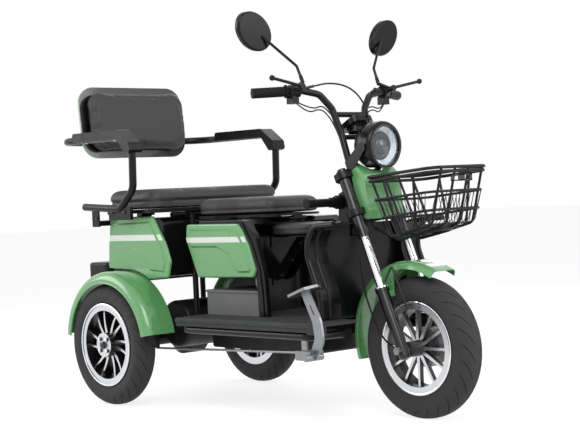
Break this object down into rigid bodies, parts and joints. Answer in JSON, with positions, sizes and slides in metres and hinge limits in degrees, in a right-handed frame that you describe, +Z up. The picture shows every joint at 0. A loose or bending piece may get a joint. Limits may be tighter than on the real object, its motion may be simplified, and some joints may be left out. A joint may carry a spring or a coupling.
{
  "type": "electric tricycle",
  "caption": "Electric tricycle with a rider's saddle, a passenger bench with arm rests and backrest, a flat deck, leg shield, wire basket and green body panels.",
  "frame": {"origin": "on the ground under the middle of the overall length and width", "axes": "+X forward, +Y to the vehicle's left, +Z up"},
  "size_m": [1.7026, 0.775, 1.2751],
  "materials": {
    "frame_black": "gloss powder coat",
    "green_paint": "gloss clear-coated paint",
    "black_gloss": "gloss moulded",
    "black_matte": "fine grain moulded",
    "deck_grey": "ribbed, matte",
    "battery_grey": "satin sheet metal",
    "seat_black": "smooth synthetic leather",
    "tyre": "rubber with tread",
    "alloy": "machined with black recesses",
    "axle_steel": "painted black",
    "pedal_steel": "plain steel",
    "fork_chrome": "chromed and black",
    "wire_black": "powder-coated wire",
    "lamp_glass": "clear",
    "grip_rubber": "patterned"
  },
  "bodies": {
    "chassis": {"rear_axle": "axle_steel", "drive_motor": "axle_steel", "frame": "frame_black", "footboard": "deck_grey", "footboard_rail": "frame_black", "floor_box": "black_matte", "battery_box": "battery_grey", "seat_box": "black_gloss", "child_seat": "seat_black", "child_seat_bracket": "frame_black", "rear_box": "black_gloss", "rear_panel_right": "green_paint", "rear_panel_left": "green_paint", "front_panel_right": "green_paint", "front_panel_left": "green_paint", "rear_fender_right": "green_paint", "rear_fender_left": "green_paint", "tail_bumper": "black_matte", "backrest_cushion": "seat_black", "backrest_shell": "green_paint", "armrest_frame": "frame_black", "armrest_pad_right": "black_matte", "armrest_pad_left": "black_matte", "legshield": "black_gloss", "column_cover": "black_gloss", "child_handle": "grip_rubber", "brake_pedal": "pedal_steel"},
    "steering_assembly": {"fork_leg_right": "fork_chrome", "fork_leg_left": "fork_chrome", "fork_crown": "frame_black", "front_axle": "pedal_steel", "front_fender": "green_paint", "handlebar": "frame_black", "grip_right": "grip_rubber", "grip_left": "grip_rubber", "control_right": "black_matte", "control_left": "black_matte", "mirror_right": "black_gloss", "mirror_left": "black_gloss", "display": "black_gloss", "headlight": "black_gloss", "headlight_lens": "lamp_glass", "fairing": "green_paint", "basket": "wire_black"},
    "front_wheel_body": {"front_tyre": "tyre", "front_wheel": "alloy"},
    "rear_wheel_right_body": {"rear_tyre_right": "tyre", "rear_wheel_right": "alloy"},
    "rear_wheel_left_body": {"rear_tyre_left": "tyre", "rear_wheel_left": "alloy"},
    "saddle_lid_body": {"saddle_base": "black_matte", "saddle_cushion": "seat_black"},
    "bench_lid_body": {"bench_base": "black_matte", "bench_cushion": "seat_black"}
  },
  "joints": [
    {"name": "steering", "type": "hinge", "parent": "chassis", "child": "steering_assembly", "pos_m": [0.41132, 0, 0.66455], "axis": [-0.3827, 0, 0.9239], "range_deg": [-35, 35]},
    {"name": "front_wheel_spin", "type": "hinge", "parent": "steering_assembly", "child": "front_wheel_body", "pos_m": [0.635, 0, 0.216], "axis": [0, 1, 0], "continuous": true},
    {"name": "rear_right_wheel_spin", "type": "hinge", "parent": "chassis", "child": "rear_wheel_right_body", "pos_m": [-0.521, -0.336, 0.21], "axis": [0, 1, 0], "continuous": true},
    {"name": "rear_left_wheel_spin", "type": "hinge", "parent": "chassis", "child": "rear_wheel_left_body", "pos_m": [-0.521, 0.336, 0.21], "axis": [0, 1, 0], "continuous": true},
    {"name": "saddle_lid", "type": "hinge", "parent": "chassis", "child": "saddle_lid_body", "pos_m": [0.09, 0, 0.622], "axis": [0, 1, 0], "range_deg": [0, 70]},
    {"name": "bench_lid", "type": "hinge", "parent": "chassis", "child": "bench_lid_body", "pos_m": [-0.612, 0, 0.652], "axis": [0, -1, 0], "range_deg": [0, 75]}
  ]
}
